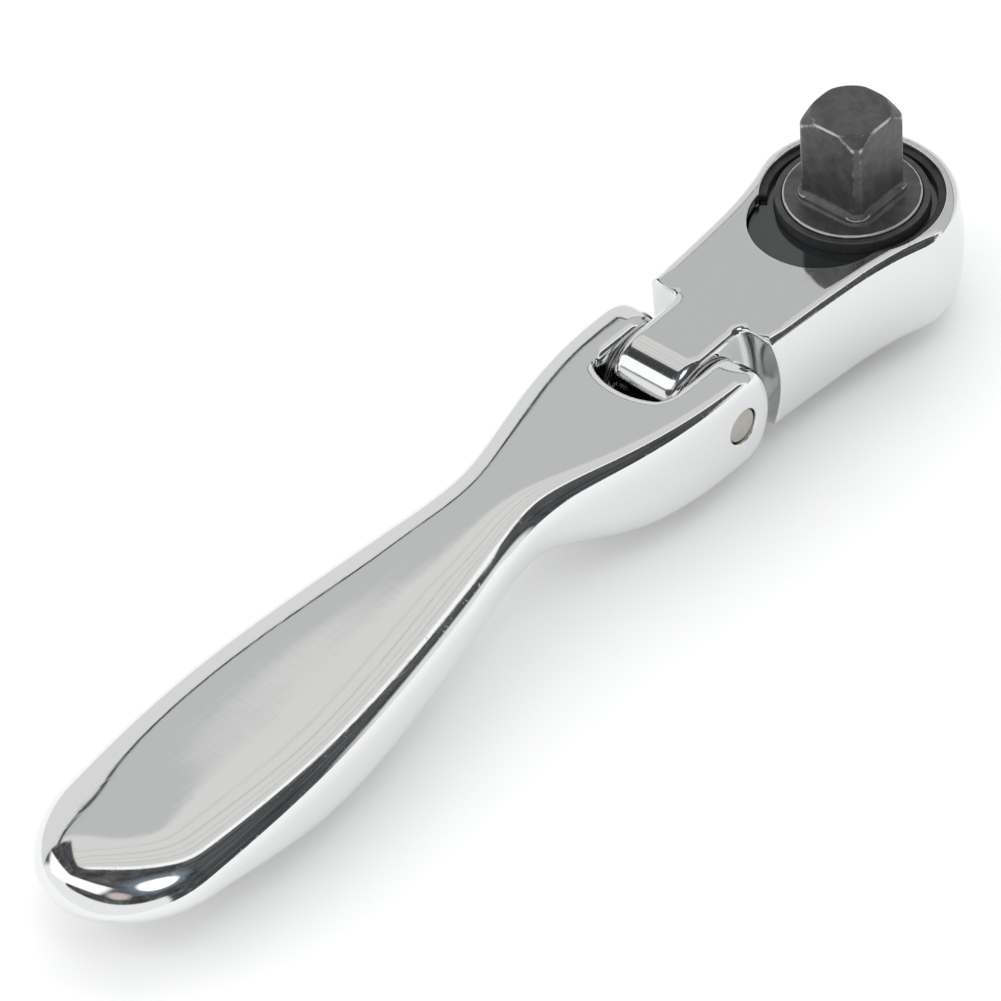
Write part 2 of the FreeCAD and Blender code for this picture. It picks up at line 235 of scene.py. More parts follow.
class Curve:
    """A natural cubic spline through one table column against another."""

    def __init__(self, x, y, start_slope=None):
        n = len(x)
        h = np.diff(x)
        a = np.zeros((n, n))
        b = np.zeros(n)
        a[0, 0] = a[-1, -1] = 1
        if start_slope is not None:
            a[0, :2] = 2 * h[0], h[0]
            b[0] = 6 * ((y[1] - y[0]) / h[0] - start_slope)
        for i in range(1, n - 1):
            a[i, i - 1:i + 2] = h[i - 1], 2 * (h[i - 1] + h[i]), h[i]
            b[i] = 6 * ((y[i + 1] - y[i]) / h[i] - (y[i] - y[i - 1]) / h[i - 1])
        self.x, self.y, self.h = x, y, h
        self.m = np.linalg.solve(a, b)

    def __call__(self, at):
        past = np.maximum(at - self.x[-1], 0)
        at = np.clip(at, self.x[0], self.x[-1])
        i = np.clip(np.searchsorted(self.x, at) - 1, 0, len(self.h) - 1)
        h = self.h[i]
        u = self.x[i + 1] - at
        v = at - self.x[i]
        bent = (self.m[i] * u ** 3 + self.m[i + 1] * v ** 3) / (6 * h)
        left = (self.y[i] / h - self.m[i] * h / 6) * u
        right = (self.y[i + 1] / h - self.m[i + 1] * h / 6) * v
        slope = self.m[-2] * self.h[-1] / 6 + (self.y[-1] - self.y[-2]) / self.h[-1]
        return bent + left + right + slope * past


# half width and half thickness are carried as squares, which run straight to nought at the end
END = PIN_X - HANDLE_END
cap = np.array([0.25, 0.45, 0.62, 0.76, 0.87, 0.95, 1.0])
cap_s = np.append(SECTIONS[:, 0], SECTIONS[-1, 0] + cap * (END - SECTIONS[-1, 0]))
WIDTH_CURVE = Curve(cap_s, np.append(SECTIONS[:, 1] ** 2, SECTIONS[-1, 1] ** 2 * (1 - cap ** 2)))
THICK_CURVE = Curve(cap_s, np.append(SECTIONS[:, 2] ** 2, SECTIONS[-1, 2] ** 2 * (1 - cap ** 4)))
MIDDLE_CURVE = Curve(cap_s, np.append(SECTIONS[:, 3], np.full(len(cap), SECTIONS[-1, 3])))
SQUARENESS_CURVE = Curve(SECTIONS[:, 0], SECTIONS[:, 4])
FLANK_CURVE = Curve(FLANK[:, 0], FLANK[:, 1], start_slope=0.0)


def slope_of(form, p, step=0.01):
    """Gradient of a form at each point."""
    slope = np.empty_like(p)
    for axis in range(3):
        shift = np.zeros(3)
        shift[axis] = step
        slope[:, axis] = (form(p + shift) - form(p - shift)) / (2 * step)
    return slope


def handle_blank(p):
    """The handle's outer form, from the ears to the rounded end."""
    s = PIN_X - p[:, 0]
    w2 = WIDTH_CURVE(s)
    stretch = np.sqrt(WIDTH_CURVE(np.minimum(s, END - 0.2)) / THICK_CURVE(np.minimum(s, END - 0.2)))
    n = SQUARENESS_CURVE(s)
    y = np.abs(p[:, 1])
    z = np.abs(p[:, 2] - PIN_Z - MIDDLE_CURVE(s)) * stretch
    across = (y ** n + z ** n) ** (1 / n) + 1e-6
    steep = np.hypot((y / across) ** (n - 1), stretch * (z / across) ** (n - 1))
    size = 2 * np.sqrt(np.maximum(w2, 2.0))
    return (across ** 2 - w2) / (size * np.maximum(steep, 0.3))


def handle_form(p):
    x = p[:, 0] - PIN_X
    z = p[:, 2] - PIN_Z
    ears = (np.hypot(np.maximum(x, 0) / EAR_FRONT, z / EAR_HALF_H) - 1) * EAR_FRONT
    body = rounded_max(handle_blank(p), ears, EAR_ROUND)
    from_pin = np.sqrt(x ** 2 + p[:, 1] ** 2 + z ** 2)
    slot_side = np.minimum(from_pin - SLOT_R, -x)
    slot = rounded_max(np.abs(p[:, 1]) - SLOT_HALF, slot_side, 0.4)
    body = cut(body, slot, SLOT_ROUND)
    body = cut(body, np.hypot(x, z) - PIN_R - PIN_RING, 0.12)
    bore = np.hypot(p[:, 1], z) - FLEX_BORE_R
    bore = np.maximum(bore, np.maximum(x + FLEX_BORE[0], -FLEX_BORE[1] - x))
    return cut(body, bore, 0.1)


def edge_rounded(side, top, across, down):
    """Both forms at once; their edge is rounded by different amounts along each."""
    a = side / across
    b = top / down
    return down * (np.minimum(np.maximum(a, b), -1) + np.hypot(np.maximum(a + 1, 0), np.maximum(b + 1, 0)))


def head_form(p):
    x = p[:, 0]
    z = p[:, 2]
    half_w = FLANK_CURVE(-x)
    side = np.where(x > 0, np.hypot(x, p[:, 1]) - HEAD_R, np.abs(p[:, 1]) - half_w)
    level = 1 - ((z + HEAD_T / 2) / (HEAD_T / 2)) ** 2
    side = side - HEAD_BULGE * np.maximum(level, -0.2)
    pin_x = x - PIN_X
    pin_z = z - PIN_Z
    from_pin = np.hypot(pin_x, pin_z)
    grown = smooth_step(pin_x / 6.3)
    half_t = KNUCKLE_R + (HEAD_T / 2 - KNUCKLE_R) * grown
    profile = np.hypot(np.minimum(pin_x, 0), pin_z) - half_t
    hollow = SHOULDER_R - np.hypot(pin_x - SHOULDER_X + SHOULDER_R, pin_z)
    out = np.maximum(np.abs(p[:, 1]) - TONGUE_HALF, pin_x - SHOULDER_X - 3)
    plan = np.where(pin_x > 0, rounded_max(side, hollow, SHOULDER_ROUND), 9.0)
    plan = rounded_min(plan, out, SHOULDER_FILLET)
    crisp = smooth_step(out) * smooth_step(2 - out / 1.4) * smooth_step(1.5 - (pin_x - SHOULDER_X))
    under = TONGUE_UNDER + (BACK_ROUND - TONGUE_UNDER) * grown
    edge_in = EDGE_IN + (RIM_EDGE_IN - EDGE_IN) * smooth_step(x / 4 + 0.5)
    across = np.where(pin_z > 0, edge_in + (0.22 - edge_in) * crisp, under)
    down = np.where(pin_z > 0, EDGE_DOWN + (0.22 - EDGE_DOWN) * crisp, under)
    body = edge_rounded(plan, profile, across, down)
    body = cut(body, from_pin - PIN_R - 0.06, 0.12)
    opening = np.minimum(disc(p, OPEN_R), disc(p, LOBE_R, LOBE_X))
    body = cut(body, np.maximum(opening, COVER_SEAT - z), RIM_ROUND)
    groove = np.maximum(disc(p, GROOVE_R), np.maximum(RING_LOW[2] - z, z - RING_HIGH[2]))
    body = cut(body, groove, 0.03)
    chamber = np.minimum(disc(p, LEDGE_R), disc(p, PAWL_ROOM_R, LOBE_X))
    body = cut(body, np.maximum(chamber, np.maximum(FLOOR_Z - z, z - COVER_SEAT - 0.2)), 0.05)
    stub = np.maximum(disc(p, STUB_BORE_R), np.maximum(STUB_BORE_Z - z, z - FLOOR_Z - 0.2))
    body = cut(body, stub, 0.05)
    selector = np.maximum(disc(p, SELECTOR_BORE_R, SELECTOR_X), z - FLOOR_Z - 0.2)
    return cut(body, selector, 0.1)


def square_form(p, half, chamfer, edge):
    x = np.abs(p[:, 0])
    y = np.abs(p[:, 1])
    corner = (x + y - 2 * half + chamfer) / math.sqrt(2)
    return rounded_max(np.maximum(x, y) - half, corner, edge)


def drive_form(p):
    z = p[:, 2]
    top = DRIVE_HIGH[2]
    radius = np.hypot(p[:, 0], p[:, 1])
    square = square_form(p, SQUARE_HALF, SQUARE_CHAMFER, SQUARE_ROUND)
    turned = (radius - END_FLAT_R + z - top) / math.sqrt(2)
    square = rounded_max(square, turned, END_ROUND)
    square = rounded_max(square, z - top, END_ROUND)
    flange = rounded_max(radius - FLANGE_R, z - FLANGE_TOP, 0.14)
    skirt = np.maximum(square_form(p, SKIRT_HALF, 0.9, 0.3), radius - 4.15 - (FLANGE_TOP + 0.6 - z))
    skirt = rounded_max(skirt, z - FLANGE_TOP - 0.6, 0.3)
    body = rounded_min(flange, skirt, 0.35)
    body = rounded_min(body, square, 0.6)
    hole = np.hypot(p[:, 1], z - BALL_Z) - BALL_HOLE_R
    return cut(body, np.maximum(hole, -0.9 - p[:, 0]), 0.06)


def cover_form(p):
    gap = 0.06
    plate = np.minimum(disc(p, OPEN_R - gap), disc(p, LOBE_R - gap, LOBE_X))
    plate = slab(p, COVER_LOW[2], COVER_HIGH[2], 0.12, plate)
    plate = cut(plate, disc(p, BUSH_R), 0.08)
    step = np.maximum(disc(p, BUSH_FLANGE_R), p[:, 2] - COVER_LOW[2] - BUSH_FLANGE_T)
    return cut(plate, step, 0.04)


def ring_form(p):
    body = slab(p, RING_LOW[2], RING_HIGH[2], 0.1, disc(p, RING_HIGH[0]))
    body = cut(body, disc(p, RING_IN_R), 0.1)
    half = math.radians(RING_OPEN_DEG)
    gap = np.abs(p[:, 1]) * math.cos(half) + p[:, 0] * math.sin(half)
    return cut(body, gap, 0.12)


def bushing_form(p):
    body = slab(p, BUSH_LOW[2], BUSH_HIGH[2], 0.1, disc(p, BUSH_R))
    flange = slab(p, BUSH_LOW[2], BUSH_LOW[2] + BUSH_FLANGE_T, 0.05, disc(p, BUSH_FLANGE_R))
    return cut(rounded_min(body, flange, 0.05), disc(p, BUSH_BORE_R), 0.1)


def bar_plan(along, across, start, reach, half_start, half_tip):
    """A tapering bar with a round tip, seen from above."""
    half = half_start + (half_tip - half_start) * np.clip((along - start) / (reach - start), 0, 1)
    bar = np.maximum(across - half, start - along)
    return np.where(along > reach, np.hypot(along - reach, across) - half_tip, bar)


def lever_form(p):
    """The reversing lever's hub, arm and ribbed thumb tab, without its shaft."""
    turn = math.radians(-LEVER_DEG)
    x = p[:, 0] - SELECTOR_X
    along = x * math.cos(turn) - p[:, 1] * math.sin(turn)
    across = np.abs(x * math.sin(turn) + p[:, 1] * math.cos(turn))
    reach = LEVER_TIP_X - SELECTOR_X
    arm = bar_plan(along, across, 0.0, reach, *ARM_HALF)
    plan = rounded_min(np.hypot(along, across) - HUB_R, arm, 1.0)
    low = LEVER_TOP - LEVER_T
    body = slab(p, low, LEVER_TOP, LEVER_ROUND, plan)
    tab = bar_plan(along, across, TAB_X - SELECTOR_X, reach, TAB_HALF, ARM_HALF[1])
    bottom = LEVER_TOP - TAB_T
    body = rounded_min(body, slab(p, bottom, low + 0.3, 0.25, tab), 0.2)
    for grip_x in GRIP_X:
        groove = np.hypot(along - grip_x + SELECTOR_X, p[:, 2] - bottom) - GRIP_R
        body = cut(body, groove, 0.08)
    return body


def lever_shaft(p):
    """Points of the lever's shaft, which stay as they are."""
    return (p[:, 2] > LEVER_TOP - 0.02) & (disc(p, 2.0, SELECTOR_X) < 0)


# ---- skins -------------------------------------------------------------------------------------

def neighbours_mean(values, edges, count):
    """Mean over each point's neighbours."""
    total = np.empty_like(values)
    for axis in range(values.shape[1]):
        total[:, axis] = np.bincount(edges[:, 0], values[edges[:, 1], axis], count)
        total[:, axis] += np.bincount(edges[:, 1], values[edges[:, 0], axis], count)
    links = np.bincount(edges.ravel(), minlength=count)
    return total / np.maximum(links, 1)[:, None]


def drawn(points, form, rounds, reach=0.25):
    """Points moved onto the form's surface."""
    for _ in range(rounds):
        slope = slope_of(form, points)
        size = np.sum(slope ** 2, axis=1) + 1e-6
        step = slope * (form(points) / size)[:, None]
        length = np.linalg.norm(step, axis=1)[:, None]
        points = points - step * np.minimum(1, reach / np.maximum(length, 1e-9))
    return points


def bend_of(points, normals, edges, count):
    """How sharply the surface turns outwards at each point, per millimetre."""
    a, b = edges[:, 0], edges[:, 1]
    along = points[b] - points[a]
    turn = np.sum((normals[b] - normals[a]) * along, axis=1)
    turn /= np.maximum(np.sum(along ** 2, axis=1), 1e-9)
    total = np.bincount(a, turn, count) + np.bincount(b, turn, count)
    return total / np.maximum(np.bincount(edges.ravel(), minlength=count), 1)


def skin(name, node, form, voxel, keep=None):
    """A fine copy of a CAD node drawn onto its exact form. It rides where the node rides."""
    cad = frame["nodes"][node]
    rough = cad.data.copy()
    rough.transform(Matrix.Scale(MM, 4))
    obj = bpy.data.objects.new(name, rough)
    bpy.context.scene.collection.objects.link(obj)
    remesh = obj.modifiers.new("remesh", "REMESH")
    remesh.mode = "VOXEL"
    remesh.voxel_size = voxel
    view = bpy.context.evaluated_depsgraph_get()
    mesh = bpy.data.meshes.new_from_object(obj.evaluated_get(view))
    obj.modifiers.clear()
    obj.data = mesh
    count = len(mesh.vertices)
    points = np.empty(count * 3)
    mesh.vertices.foreach_get("co", points)
    points = points.reshape(-1, 3)
    edges = np.empty(len(mesh.edges) * 2, np.int32)
    mesh.edges.foreach_get("vertices", edges)
    edges = edges.reshape(-1, 2)
    fixed = points.copy()
    points = drawn(points, form, 4)
    for _ in range(4):
        points = points + 0.5 * (neighbours_mean(points, edges, count) - points)
        points = drawn(points, form, 2)
    normals = slope_of(form, points)
    normals /= np.maximum(np.linalg.norm(normals, axis=1), 1e-9)[:, None]
    if keep is not None:
        kept = keep(fixed)
        points[kept] = fixed[kept]
    mesh.vertices.foreach_set("co", (points / MM).ravel())
    mesh.update()
    if keep is not None:
        own = np.empty(count * 3)
        mesh.vertices.foreach_get("normal", own)
        normals[kept] = own.reshape(-1, 3)[kept]
    bend = bend_of(points, normals, edges, count)
    bend = 0.5 * (bend + neighbours_mean(bend[:, None], edges, count)[:, 0])
    mesh.attributes.new("bend", "FLOAT", "POINT").data.foreach_set("value", bend.astype(np.float32))
    mesh.polygons.foreach_set("use_smooth", [True] * len(mesh.polygons))
    mesh.normals_split_custom_set_from_vertices(normals.tolist())
    mesh.materials.clear()
    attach(obj, cad["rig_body"])
    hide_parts(node)
    return obj


# ---- materials ---------------------------------------------------------------------------------

class Paint:
    """A small builder for one node tree."""

    def __init__(self, tree):
        self.tree = tree
        tree.nodes.clear()

    def add(self, kind, settings=None, **inputs):
        node = self.tree.nodes.new("ShaderNode" + kind)
        for key, value in (settings or {}).items():
            setattr(node, key, value)
        for key, value in inputs.items():
            index = int(key[1:]) if key[0] == "i" and key[1:].isdigit() else key.replace("_", " ")
            self.put(node.inputs[index], value)
        return node

    def put(self, socket, value):
        if isinstance(value, bpy.types.NodeSocket):
            self.tree.links.new(value, socket)
        else:
            socket.default_value = value

    def math(self, operation, a, b=0.0, c=0.0, clamp=False):
        settings = {"operation": operation, "use_clamp": clamp}
        return self.add("Math", settings, i0=a, i1=b, i2=c).outputs[0]

    def ramp(self, value, stops, smooth=False):
        node = self.add("ValToRGB", None, Fac=value)
        node.color_ramp.interpolation = "EASE" if smooth else "LINEAR"
        elements = node.color_ramp.elements
        while len(elements) < len(stops):
            elements.new(0.5)
        for element, (place, level) in zip(elements, stops):
            element.position = place
            shade = (level, level, level) if isinstance(level, (int, float)) else level
            element.color = (*shade, 1.0)
        return node.outputs["Color"]

    def noise(self, vector, scale, detail=2.0, roughness=0.5):
        return self.add("TexNoise", None, Vector=vector, Scale=scale, Detail=detail,
                        Roughness=roughness).outputs["Fac"]

    def stretched(self, vector, scale, turn=(0.0, 0.0, 0.0)):
        return self.add("Mapping", None, Vector=vector, Scale=scale, Rotation=turn).outputs[0]

    def mix(self, share, a, b):
        node = self.add("Mix", {"data_type": "RGBA"}, Factor=share)
        self.put(node.inputs[6], a)
        self.put(node.inputs[7], b)
        return node.outputs[2]

    def mixed_value(self, share, a, b):
        node = self.add("Mix", {"data_type": "FLOAT"}, i0=share)
        self.put(node.inputs[2], a)
        self.put(node.inputs[3], b)
        return node.outputs[0]

    def bump(self, height, distance, strength=1.0, normal=None):
        node = self.add("Bump", None, Height=height, Distance=distance, Strength=strength)
        if normal is not None:
            self.put(node.inputs["Normal"], normal)
        return node.outputs["Normal"]


def new_material(name):
    material = bpy.data.materials.new(name)
    material.use_nodes = True
    paint = Paint(material.node_tree)
    surface = paint.add("BsdfPrincipled")
    output = paint.add("OutputMaterial")
    paint.put(output.inputs["Surface"], surface.outputs["BSDF"])
    place = paint.add("TexCoord").outputs["Object"]
    return material, paint, surface, place


def scratches(paint, place, turns, scale, share):
    """Fine straight hairlines in several directions, 0 to 1."""
    total = None
    for turn, stretch in turns:
        lines = paint.stretched(place, (scale * stretch, scale, scale * stretch), (0, 0, turn))
        noise = paint.noise(lines, 1.0, 1.0, 0.4)
        thin = paint.ramp(noise, [(0.0, 0.0), (share, 0.0), (share + 0.02, 1.0), (share + 0.04, 0.0)])
        total = thin if total is None else paint.math("MAXIMUM", total, thin)
    return total


def make_chrome(name, tint, ripple):
    """Bright plating over polished steel: faint orange peel, hairlines, and small pits along edges."""
    material, paint, surface, place = new_material(name)
    cloud = paint.noise(place, 260.0, 3.0, 0.55)
    across = paint.stretched(place, (2600.0, 160.0, 400.0))
    lines = paint.noise(across, 1.0, 2.0, 0.6)
    hair = scratches(paint, place, [(0.35, 0.03), (-0.6, 0.04), (1.3, 0.03)], 2200.0, 0.66)
    surface_bump = paint.bump(cloud, 2.5e-6 * ripple)
    surface_bump = paint.bump(lines, 0.55e-6 * ripple, 1.0, surface_bump)
    surface_bump = paint.bump(hair, 0.4e-6, 0.5, surface_bump)
    bend = paint.add("Attribute", {"attribute_name": "bend"}).outputs["Fac"]
    pits = paint.noise(place, 3600.0, 3.0, 0.6)
    worn = paint.math("MULTIPLY_ADD", paint.math("MINIMUM", bend, 1.5), 0.16, pits)
    worn = paint.ramp(worn, [(0.7, 0.0), (0.78, 1.0)])
    surface_bump = paint.bump(worn, 3e-6, 0.7, surface_bump)
    haze = paint.noise(place, 420.0, 4.0, 0.6)
    rough = paint.ramp(haze, [(0.3, 0.035), (0.75, 0.075)])
    rough = paint.math("MULTIPLY_ADD", worn, 0.14, rough)
    rough = paint.math("ADD", rough, paint.math("MULTIPLY", hair, 0.08))
    paint.put(surface.inputs["Base Color"], (*tint, 1.0))
    paint.put(surface.inputs["Metallic"], 1.0)
    paint.put(surface.inputs["Roughness"], rough)
    paint.put(surface.inputs["Normal"], surface_bump)
    return material


def make_black(name, low, high, rough, worn, edge_wear_and_highlight, grain_turn=(1.0, 1.0, 0.08)):
    """Blackened steel with a fine grain, brighter in thin lines along its edges: partly rubbed bare steel,
    partly a painted highlight.
    """
    material, paint, surface, place = new_material(name)
    mottle = paint.noise(place, 900.0, 5.0, 0.65)
    fine = paint.stretched(place, tuple(9000.0 * share for share in grain_turn))
    grain = paint.noise(fine, 1.0, 2.0, 0.5)
    share = paint.math("MULTIPLY_ADD", grain, 0.3, paint.math("MULTIPLY", mottle, 0.8))
    share = paint.ramp(share, [(0.35, 0.0), (0.8, 1.0)])
    colour = paint.mix(share, (*low, 1.0), (*high, 1.0))
    # Pale colour along sharp edges, from the bend: partly rubbed steel, partly a painted highlight on the
    # edges.
    bend = paint.add("Attribute", {"attribute_name": "bend"}).outputs["Fac"]
    chips = paint.noise(place, 1800.0, 4.0, 0.7)
    edge = paint.math("MULTIPLY", bend, edge_wear_and_highlight)
    edge = paint.math("MULTIPLY_ADD", chips, 0.6, edge)
    edge = paint.ramp(edge, [(0.56, 0.0), (0.9, 0.9)])
    colour = paint.mix(edge, colour, (*worn, 1.0))
    paint.put(surface.inputs["Base Color"], colour)
    paint.put(surface.inputs["Metallic"], 0.7)
    roughness = paint.math("MULTIPLY_ADD", mottle, 0.16, rough)
    roughness = paint.math("MULTIPLY_ADD", edge, -0.08, roughness)
    paint.put(surface.inputs["Roughness"], roughness)
    rough_bump = paint.bump(mottle, 5e-6)
    paint.put(surface.inputs["Normal"], paint.bump(grain, 1.5e-6, 1.0, rough_bump))
    return material


def make_gloss_black(name):
    """Glossy black finish: a smooth clear skin over near-black, with dust specks and hairlines."""
    material, paint, surface, place = new_material(name)
    mottle = paint.noise(place, 500.0, 4.0, 0.6)
    hair = scratches(paint, place, [(0.5, 0.04), (-0.9, 0.04)], 2600.0, 0.68)
    specks = paint.ramp(paint.noise(place, 5200.0, 1.0, 0.4), [(0.76, 0.0), (0.8, 1.0)])
    dust = paint.math("MULTIPLY", specks, 0.35)
    colour = paint.mix(mottle, (0.006, 0.008, 0.009, 1.0), (0.014, 0.018, 0.02, 1.0))
    colour = paint.mix(paint.math("ADD", dust, paint.math("MULTIPLY", hair, 0.05)), colour,
                       (0.3, 0.3, 0.3, 1.0))
    paint.put(surface.inputs["Base Color"], colour)
    paint.put(surface.inputs["IOR"], 1.9)
    paint.put(surface.inputs["Roughness"], paint.math("MULTIPLY_ADD", mottle, 0.1, 0.04))
    paint.put(surface.inputs["Normal"], paint.bump(mottle, 1.5e-6))
    return material


def make_steel(name, colour, rough, stretch, metallic=1.0):
    """Ground or drawn steel with fine machining lines."""
    material, paint, surface, place = new_material(name)
    lines = paint.noise(paint.stretched(place, stretch), 1.0, 3.0, 0.6)
    mottle = paint.noise(place, 700.0, 4.0, 0.6)
    shade = paint.ramp(mottle, [(0.3, 0.82), (0.7, 1.0)])
    tint = paint.add("Mix", {"data_type": "RGBA", "blend_type": "MULTIPLY"}, Factor=1.0)
    paint.put(tint.inputs[6], (*colour, 1.0))
    paint.put(tint.inputs[7], shade)
    paint.put(surface.inputs["Base Color"], tint.outputs[2])
    paint.put(surface.inputs["Metallic"], metallic)
    paint.put(surface.inputs["Roughness"], paint.math("MULTIPLY_ADD", lines, 0.2, rough))
    paint.put(surface.inputs["Normal"], paint.bump(lines, 2e-6))
    return material


def make_rubber(name):
    material, paint, surface, place = new_material(name)
    grain = paint.noise(place, 5000.0, 3.0, 0.6)
    paint.put(surface.inputs["Base Color"], paint.ramp(grain, [(0.3, 0.012), (0.7, 0.03)]))
    paint.put(surface.inputs["Roughness"], 0.65)
    paint.put(surface.inputs["Normal"], paint.bump(grain, 4e-6))
    return material


def make_floor():
    material, paint, surface, place = new_material("pale_floor")
    paint.put(surface.inputs["Base Color"], (0.93, 0.93, 0.93, 1.0))
    paint.put(surface.inputs["Roughness"], 0.9)
    paint.put(surface.inputs["Specular IOR Level"], 0.0)
    return material


# ---- light, floor and camera -------------------------------------------------------------------

class Room(Paint):
    """The studio, painted as light from each direction."""

    def __init__(self, tree):
        super().__init__(tree)
        self.direction = self.add("TexCoord").outputs["Generated"]

    def along(self, x, y, z):
        """How far each direction leans towards (x, y, z)."""
        node = self.add("VectorMath", {"operation": "DOT_PRODUCT"}, i0=self.direction, i1=(x, y, z))
        return node.outputs["Value"]

    def above(self, value, level, blur):
        """0 below the level and 1 above it, with a blurred border."""
        past = self.math("SUBTRACT", value, level)
        return self.math("MULTIPLY_ADD", past, 0.5 / blur, 0.5, clamp=True)

    def below(self, value, level, blur):
        return self.math("SUBTRACT", 1.0, self.above(value, level, blur))

    def line(self, value, level, half_width):
        away = self.math("ABSOLUTE", self.math("SUBTRACT", value, level))
        return self.below(away, half_width, half_width * 0.4)

    def patch(self, centre, radius_deg, blur_deg):
        """A round patch about a direction."""
        lean = self.along(*Vector(centre).normalized())
        edge = math.cos(math.radians(radius_deg))
        return self.above(lean, edge, edge - math.cos(math.radians(radius_deg + blur_deg)))

    def lit(self, share, under, colour):
        return self.mix(share, under, (*colour, 1.0))


def make_world():
    """A bright tent on the far side: white back wall, grey ceiling and a pale side cloth with seams.
    The room behind the camera is dark, with a long window, a few lamps and pale things in it."""
    world = bpy.data.worlds.new("studio")
    bpy.context.scene.world = world
    world.use_nodes = True
    room = Room(world.node_tree)
    grey = room.above(room.along(1.44, 0.5, -1.0), 0.0, 0.02)
    over_wall = room.along(-0.54, -0.55, 1.0)
    tent = room.along(0.76, 0.634, -0.149)
    colour = room.lit(grey, (0.82, 0.82, 0.805, 1.0), (0.61, 0.62, 0.615))
    for seam, share in ((0.105, 0.25), (0.15, 0.5), (0.225, 0.3), (0.3, 0.45), (0.39, 0.25)):
        mark = room.math("MULTIPLY", room.line(tent, seam, 0.008), share)
        mark = room.math("MULTIPLY", mark, room.math("SUBTRACT", 1.0, grey))
        colour = room.lit(mark, colour, (0.42, 0.42, 0.42))
    colour = room.lit(room.below(over_wall, 0.0, 0.01), colour, (0.84, 0.84, 0.84))
    colour = room.lit(room.line(over_wall, 0.0, 0.019), colour, (0.06, 0.06, 0.065))
    colour = room.lit(room.below(tent, 0.06, 0.012), colour, (1.2, 1.2, 1.2))
    clutter = room.noise(room.direction, 7.0, 5.0, 0.65)
    behind = room.ramp(clutter, [(0.35, (0.04, 0.042, 0.047)), (0.55, (0.1, 0.105, 0.11)), (0.75, 0.24)])
    behind = room.lit(room.patch((-0.12, -0.34, 0.93), 13, 6), behind, (0.3, 0.38, 0.46))
    behind = room.lit(room.patch((-0.12, -0.34, 0.93), 10, 1.5), behind, (1.9, 1.95, 2.0))
    behind = room.lit(room.patch((-0.56, -0.25, 0.79), 7, 2), behind, (0.68, 0.6, 0.57))
    behind = room.lit(room.patch((0.68, -0.71, 0.12), 14, 3), behind, (0.9, 0.9, 0.9))
    low = room.math("MULTIPLY", room.below(room.along(0.0, 0.0, 1.0), 0.56, 0.02),
                    room.below(room.along(1.0, 0.0, 0.0), -0.3, 0.03))
    behind = room.lit(low, behind, (1.0, 1.0, 1.0))
    length = room.patch((-0.469, 0.531, 0.71), 37, 2)
    height = room.along(0.856, 0.07, 0.513)
    pane = room.math("MULTIPLY", room.above(height, -0.2, 0.02), room.below(height, 0.11, 0.01))
    behind = room.lit(room.math("MULTIPLY", length, pane), behind, (1.3, 1.3, 1.3))
    open_side = room.above(room.along(-0.8155, -0.289, 0.5014), 0.0, 0.01)
    round_end = room.math("SUBTRACT", 1.0, room.patch((0.35, 0.4, 0.85), 27, 1))
    open_side = room.math("MULTIPLY", open_side, round_end)
    open_side = room.math("MULTIPLY", open_side, room.below(room.along(1.0, 0.0, 0.0), 0.14, 0.02))
    colour = room.mix(open_side, colour, behind)
    colour = room.mix(room.below(tent, 0.0, 0.006), colour, behind)
    background = room.add("Background", None, Color=colour, Strength=1.0)
    output = room.add("OutputWorld")
    room.put(output.inputs["Surface"], background.outputs["Background"])


def make_sun(name, strength, angle_deg, turn_deg, glossy):
    light = bpy.data.lights.new(name, "SUN")
    light.energy = strength
    light.angle = math.radians(angle_deg)
    lamp = bpy.data.objects.new(name, light)
    lamp.rotation_euler = [math.radians(a) for a in turn_deg]
    lamp.visible_glossy = glossy
    bpy.context.scene.collection.objects.link(lamp)


def make_stage():
    mesh = bpy.data.meshes.new("floor")
    size = 4.0
    level = cad_box[0][2]
    corners = [(-size, -size, level), (size, -size, level), (size, size, level), (-size, size, level)]
    mesh.from_pydata(corners, [], [(0, 1, 2, 3)])
    mesh.materials.append(make_floor())
    floor = bpy.data.objects.new("floor", mesh)
    bpy.context.scene.collection.objects.link(floor)


def make_camera():
    """Above the handle's near side, turned about the upright and tipped a little."""
    azimuth, elevation, roll = (math.radians(a) for a in (CAMERA_AZIMUTH, CAMERA_ELEVATION, CAMERA_ROLL))
    back = Vector((math.sin(azimuth) * math.cos(elevation), -math.cos(azimuth) * math.cos(elevation),
                   math.sin(elevation)))
    level = Vector((0, 0, 1)).cross(back).normalized()
    right = level * math.cos(roll) + back.cross(level) * math.sin(roll)
    aim = Vector((PIN_X - CAMERA_BEHIND_PIN, CAMERA_ASIDE, PIN_Z)) / MM
    turn = Matrix((right, back.cross(right), back)).transposed().to_4x4()
    turn.translation = aim + back * CAMERA_DISTANCE / MM
    camera = bpy.data.objects.new("camera", bpy.data.cameras.new("camera"))
    camera.matrix_world = turn
    camera.data.sensor_width = 36.0
    camera.data.lens = CAMERA_LENS
    camera.data.clip_start = 0.01
    bpy.context.scene.collection.objects.link(camera)
    bpy.context.scene.camera = camera


# ---- the object --------------------------------------------------------------------------------

def paint_node(node, material):
    """A new finish on a CAD node that is shown as it is."""
    slots = frame["nodes"][node].material_slots
    for slot in slots:
        slot.material = material
    if not slots:
        frame["nodes"][node].data.materials.append(material)


def make_ball_spring(material):
    """The ball's spring: a copy of its coil, riding with the coil's body."""
    node = "socket_ball_spring"
    cad = frame["nodes"][node]
    spring = bpy.data.objects.new("coil_behind_ball", cad.data.copy())
    bpy.context.scene.collection.objects.link(spring)
    spring.data.materials.clear()
    spring.data.materials.append(material)
    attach(spring, cad["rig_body"])
    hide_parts(node)
    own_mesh(spring)


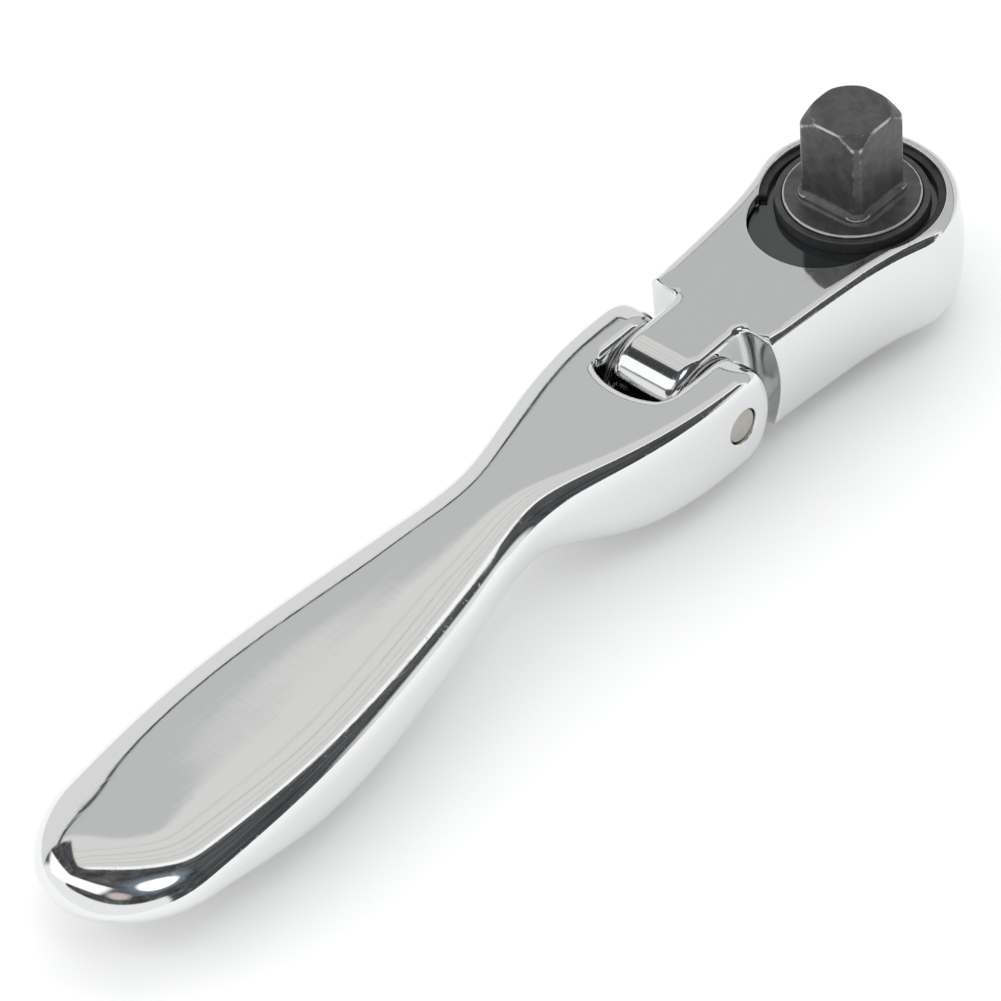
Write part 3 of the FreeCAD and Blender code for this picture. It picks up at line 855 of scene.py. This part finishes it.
def build():
    chrome_handle = make_chrome("chrome_handle", (0.785, 0.79, 0.79), 1.5)
    # The head's chrome is tinted darker than the handle's: painted shade that makes the head's sides read
    # greyer.
    chrome_head_painted_shade = make_chrome("chrome_head_painted_shade", (0.75, 0.755, 0.755), 1.4)
    # The pale edge colours below are partly worn steel, partly a painted highlight along the edges.
    black_drive = make_black("black_drive", (0.06, 0.06, 0.06), (0.14, 0.138, 0.135), 0.34,
                             (0.55, 0.54, 0.52), 0.24, (1.0, 1.0, 0.4))
    black_collar = make_black("black_collar", (0.055, 0.057, 0.06), (0.11, 0.11, 0.11), 0.36,
                              (0.22, 0.22, 0.22), 0.05, (1.0, 1.0, 1.0))
    black_plate = make_gloss_black("gloss_black_plate")
    black_ring = make_black("black_ring", (0.03, 0.03, 0.032), (0.07, 0.07, 0.07), 0.3,
                            (0.3, 0.3, 0.3), 0.03, (1.0, 1.0, 1.0))
    satin = make_steel("satin_chrome", (0.78, 0.79, 0.8), 0.2, (4000.0, 300.0, 4000.0))
    skins = [
        ("chrome_handle", "handle", handle_form, 0.16, None, chrome_handle),
        ("chrome_head_painted_shade", "head_body", head_form, 0.12, None, chrome_head_painted_shade),
        ("black_square_drive", "drive_gear", drive_form, 0.09, lambda p: p[:, 2] < GEAR_TOP + 0.3,
         black_drive),
        ("gloss_cover_plate", "cover_plate", cover_form, 0.09, None, black_plate),
        ("black_retaining_ring", "cover_retaining_ring", ring_form, 0.06, None, black_ring),
        ("black_drive_collar", "drive_bushing", bushing_form, 0.07, None, black_collar),
        ("chrome_lever", "reverse_lever", lever_form, 0.08, lever_shaft, satin),
    ]
    for name, node, form, voxel, keep, material in skins:
        piece = skin(name, node, form, voxel, keep)
        piece.data.materials.append(material)
    pin_steel = make_steel("pin_steel", (0.52, 0.5, 0.46), 0.35, (3000.0, 200.0, 3000.0))
    spring_steel = make_steel("spring_steel", (0.6, 0.6, 0.6), 0.25, (2500.0, 300.0, 2500.0))
    hard_steel = make_steel("hard_steel", (0.45, 0.45, 0.46), 0.3, (3000.0, 3000.0, 300.0))
    bright_ball = make_steel("bright_ball", (0.75, 0.75, 0.75), 0.08, (1500.0, 1500.0, 1500.0))
    bronze = make_steel("bronze", (0.55, 0.36, 0.17), 0.35, (2500.0, 2500.0, 2500.0))
    rubber = make_rubber("seal_rubber")
    finish_of = {
        "hinge_pin": pin_steel, "friction_washer_left": spring_steel, "friction_washer_right": spring_steel,
        "flex_plunger": hard_steel, "flex_plunger_spring": spring_steel, "pawl": hard_steel,
        "socket_ball": bright_ball,
        "selector_clip": spring_steel, "selector_plunger": hard_steel,
        "selector_plunger_spring": spring_steel, "gear_thrust_washer": bronze,
        "selector_o_ring": rubber,
    }
    for node, material in finish_of.items():
        paint_node(node, material)
    make_ball_spring(spring_steel)


build()
make_stage()
make_world()
make_sun("soft_top", 2.0, 170, (0, 0, 0), False)
make_camera()
bpy.context.scene.view_settings.view_transform = "Standard"
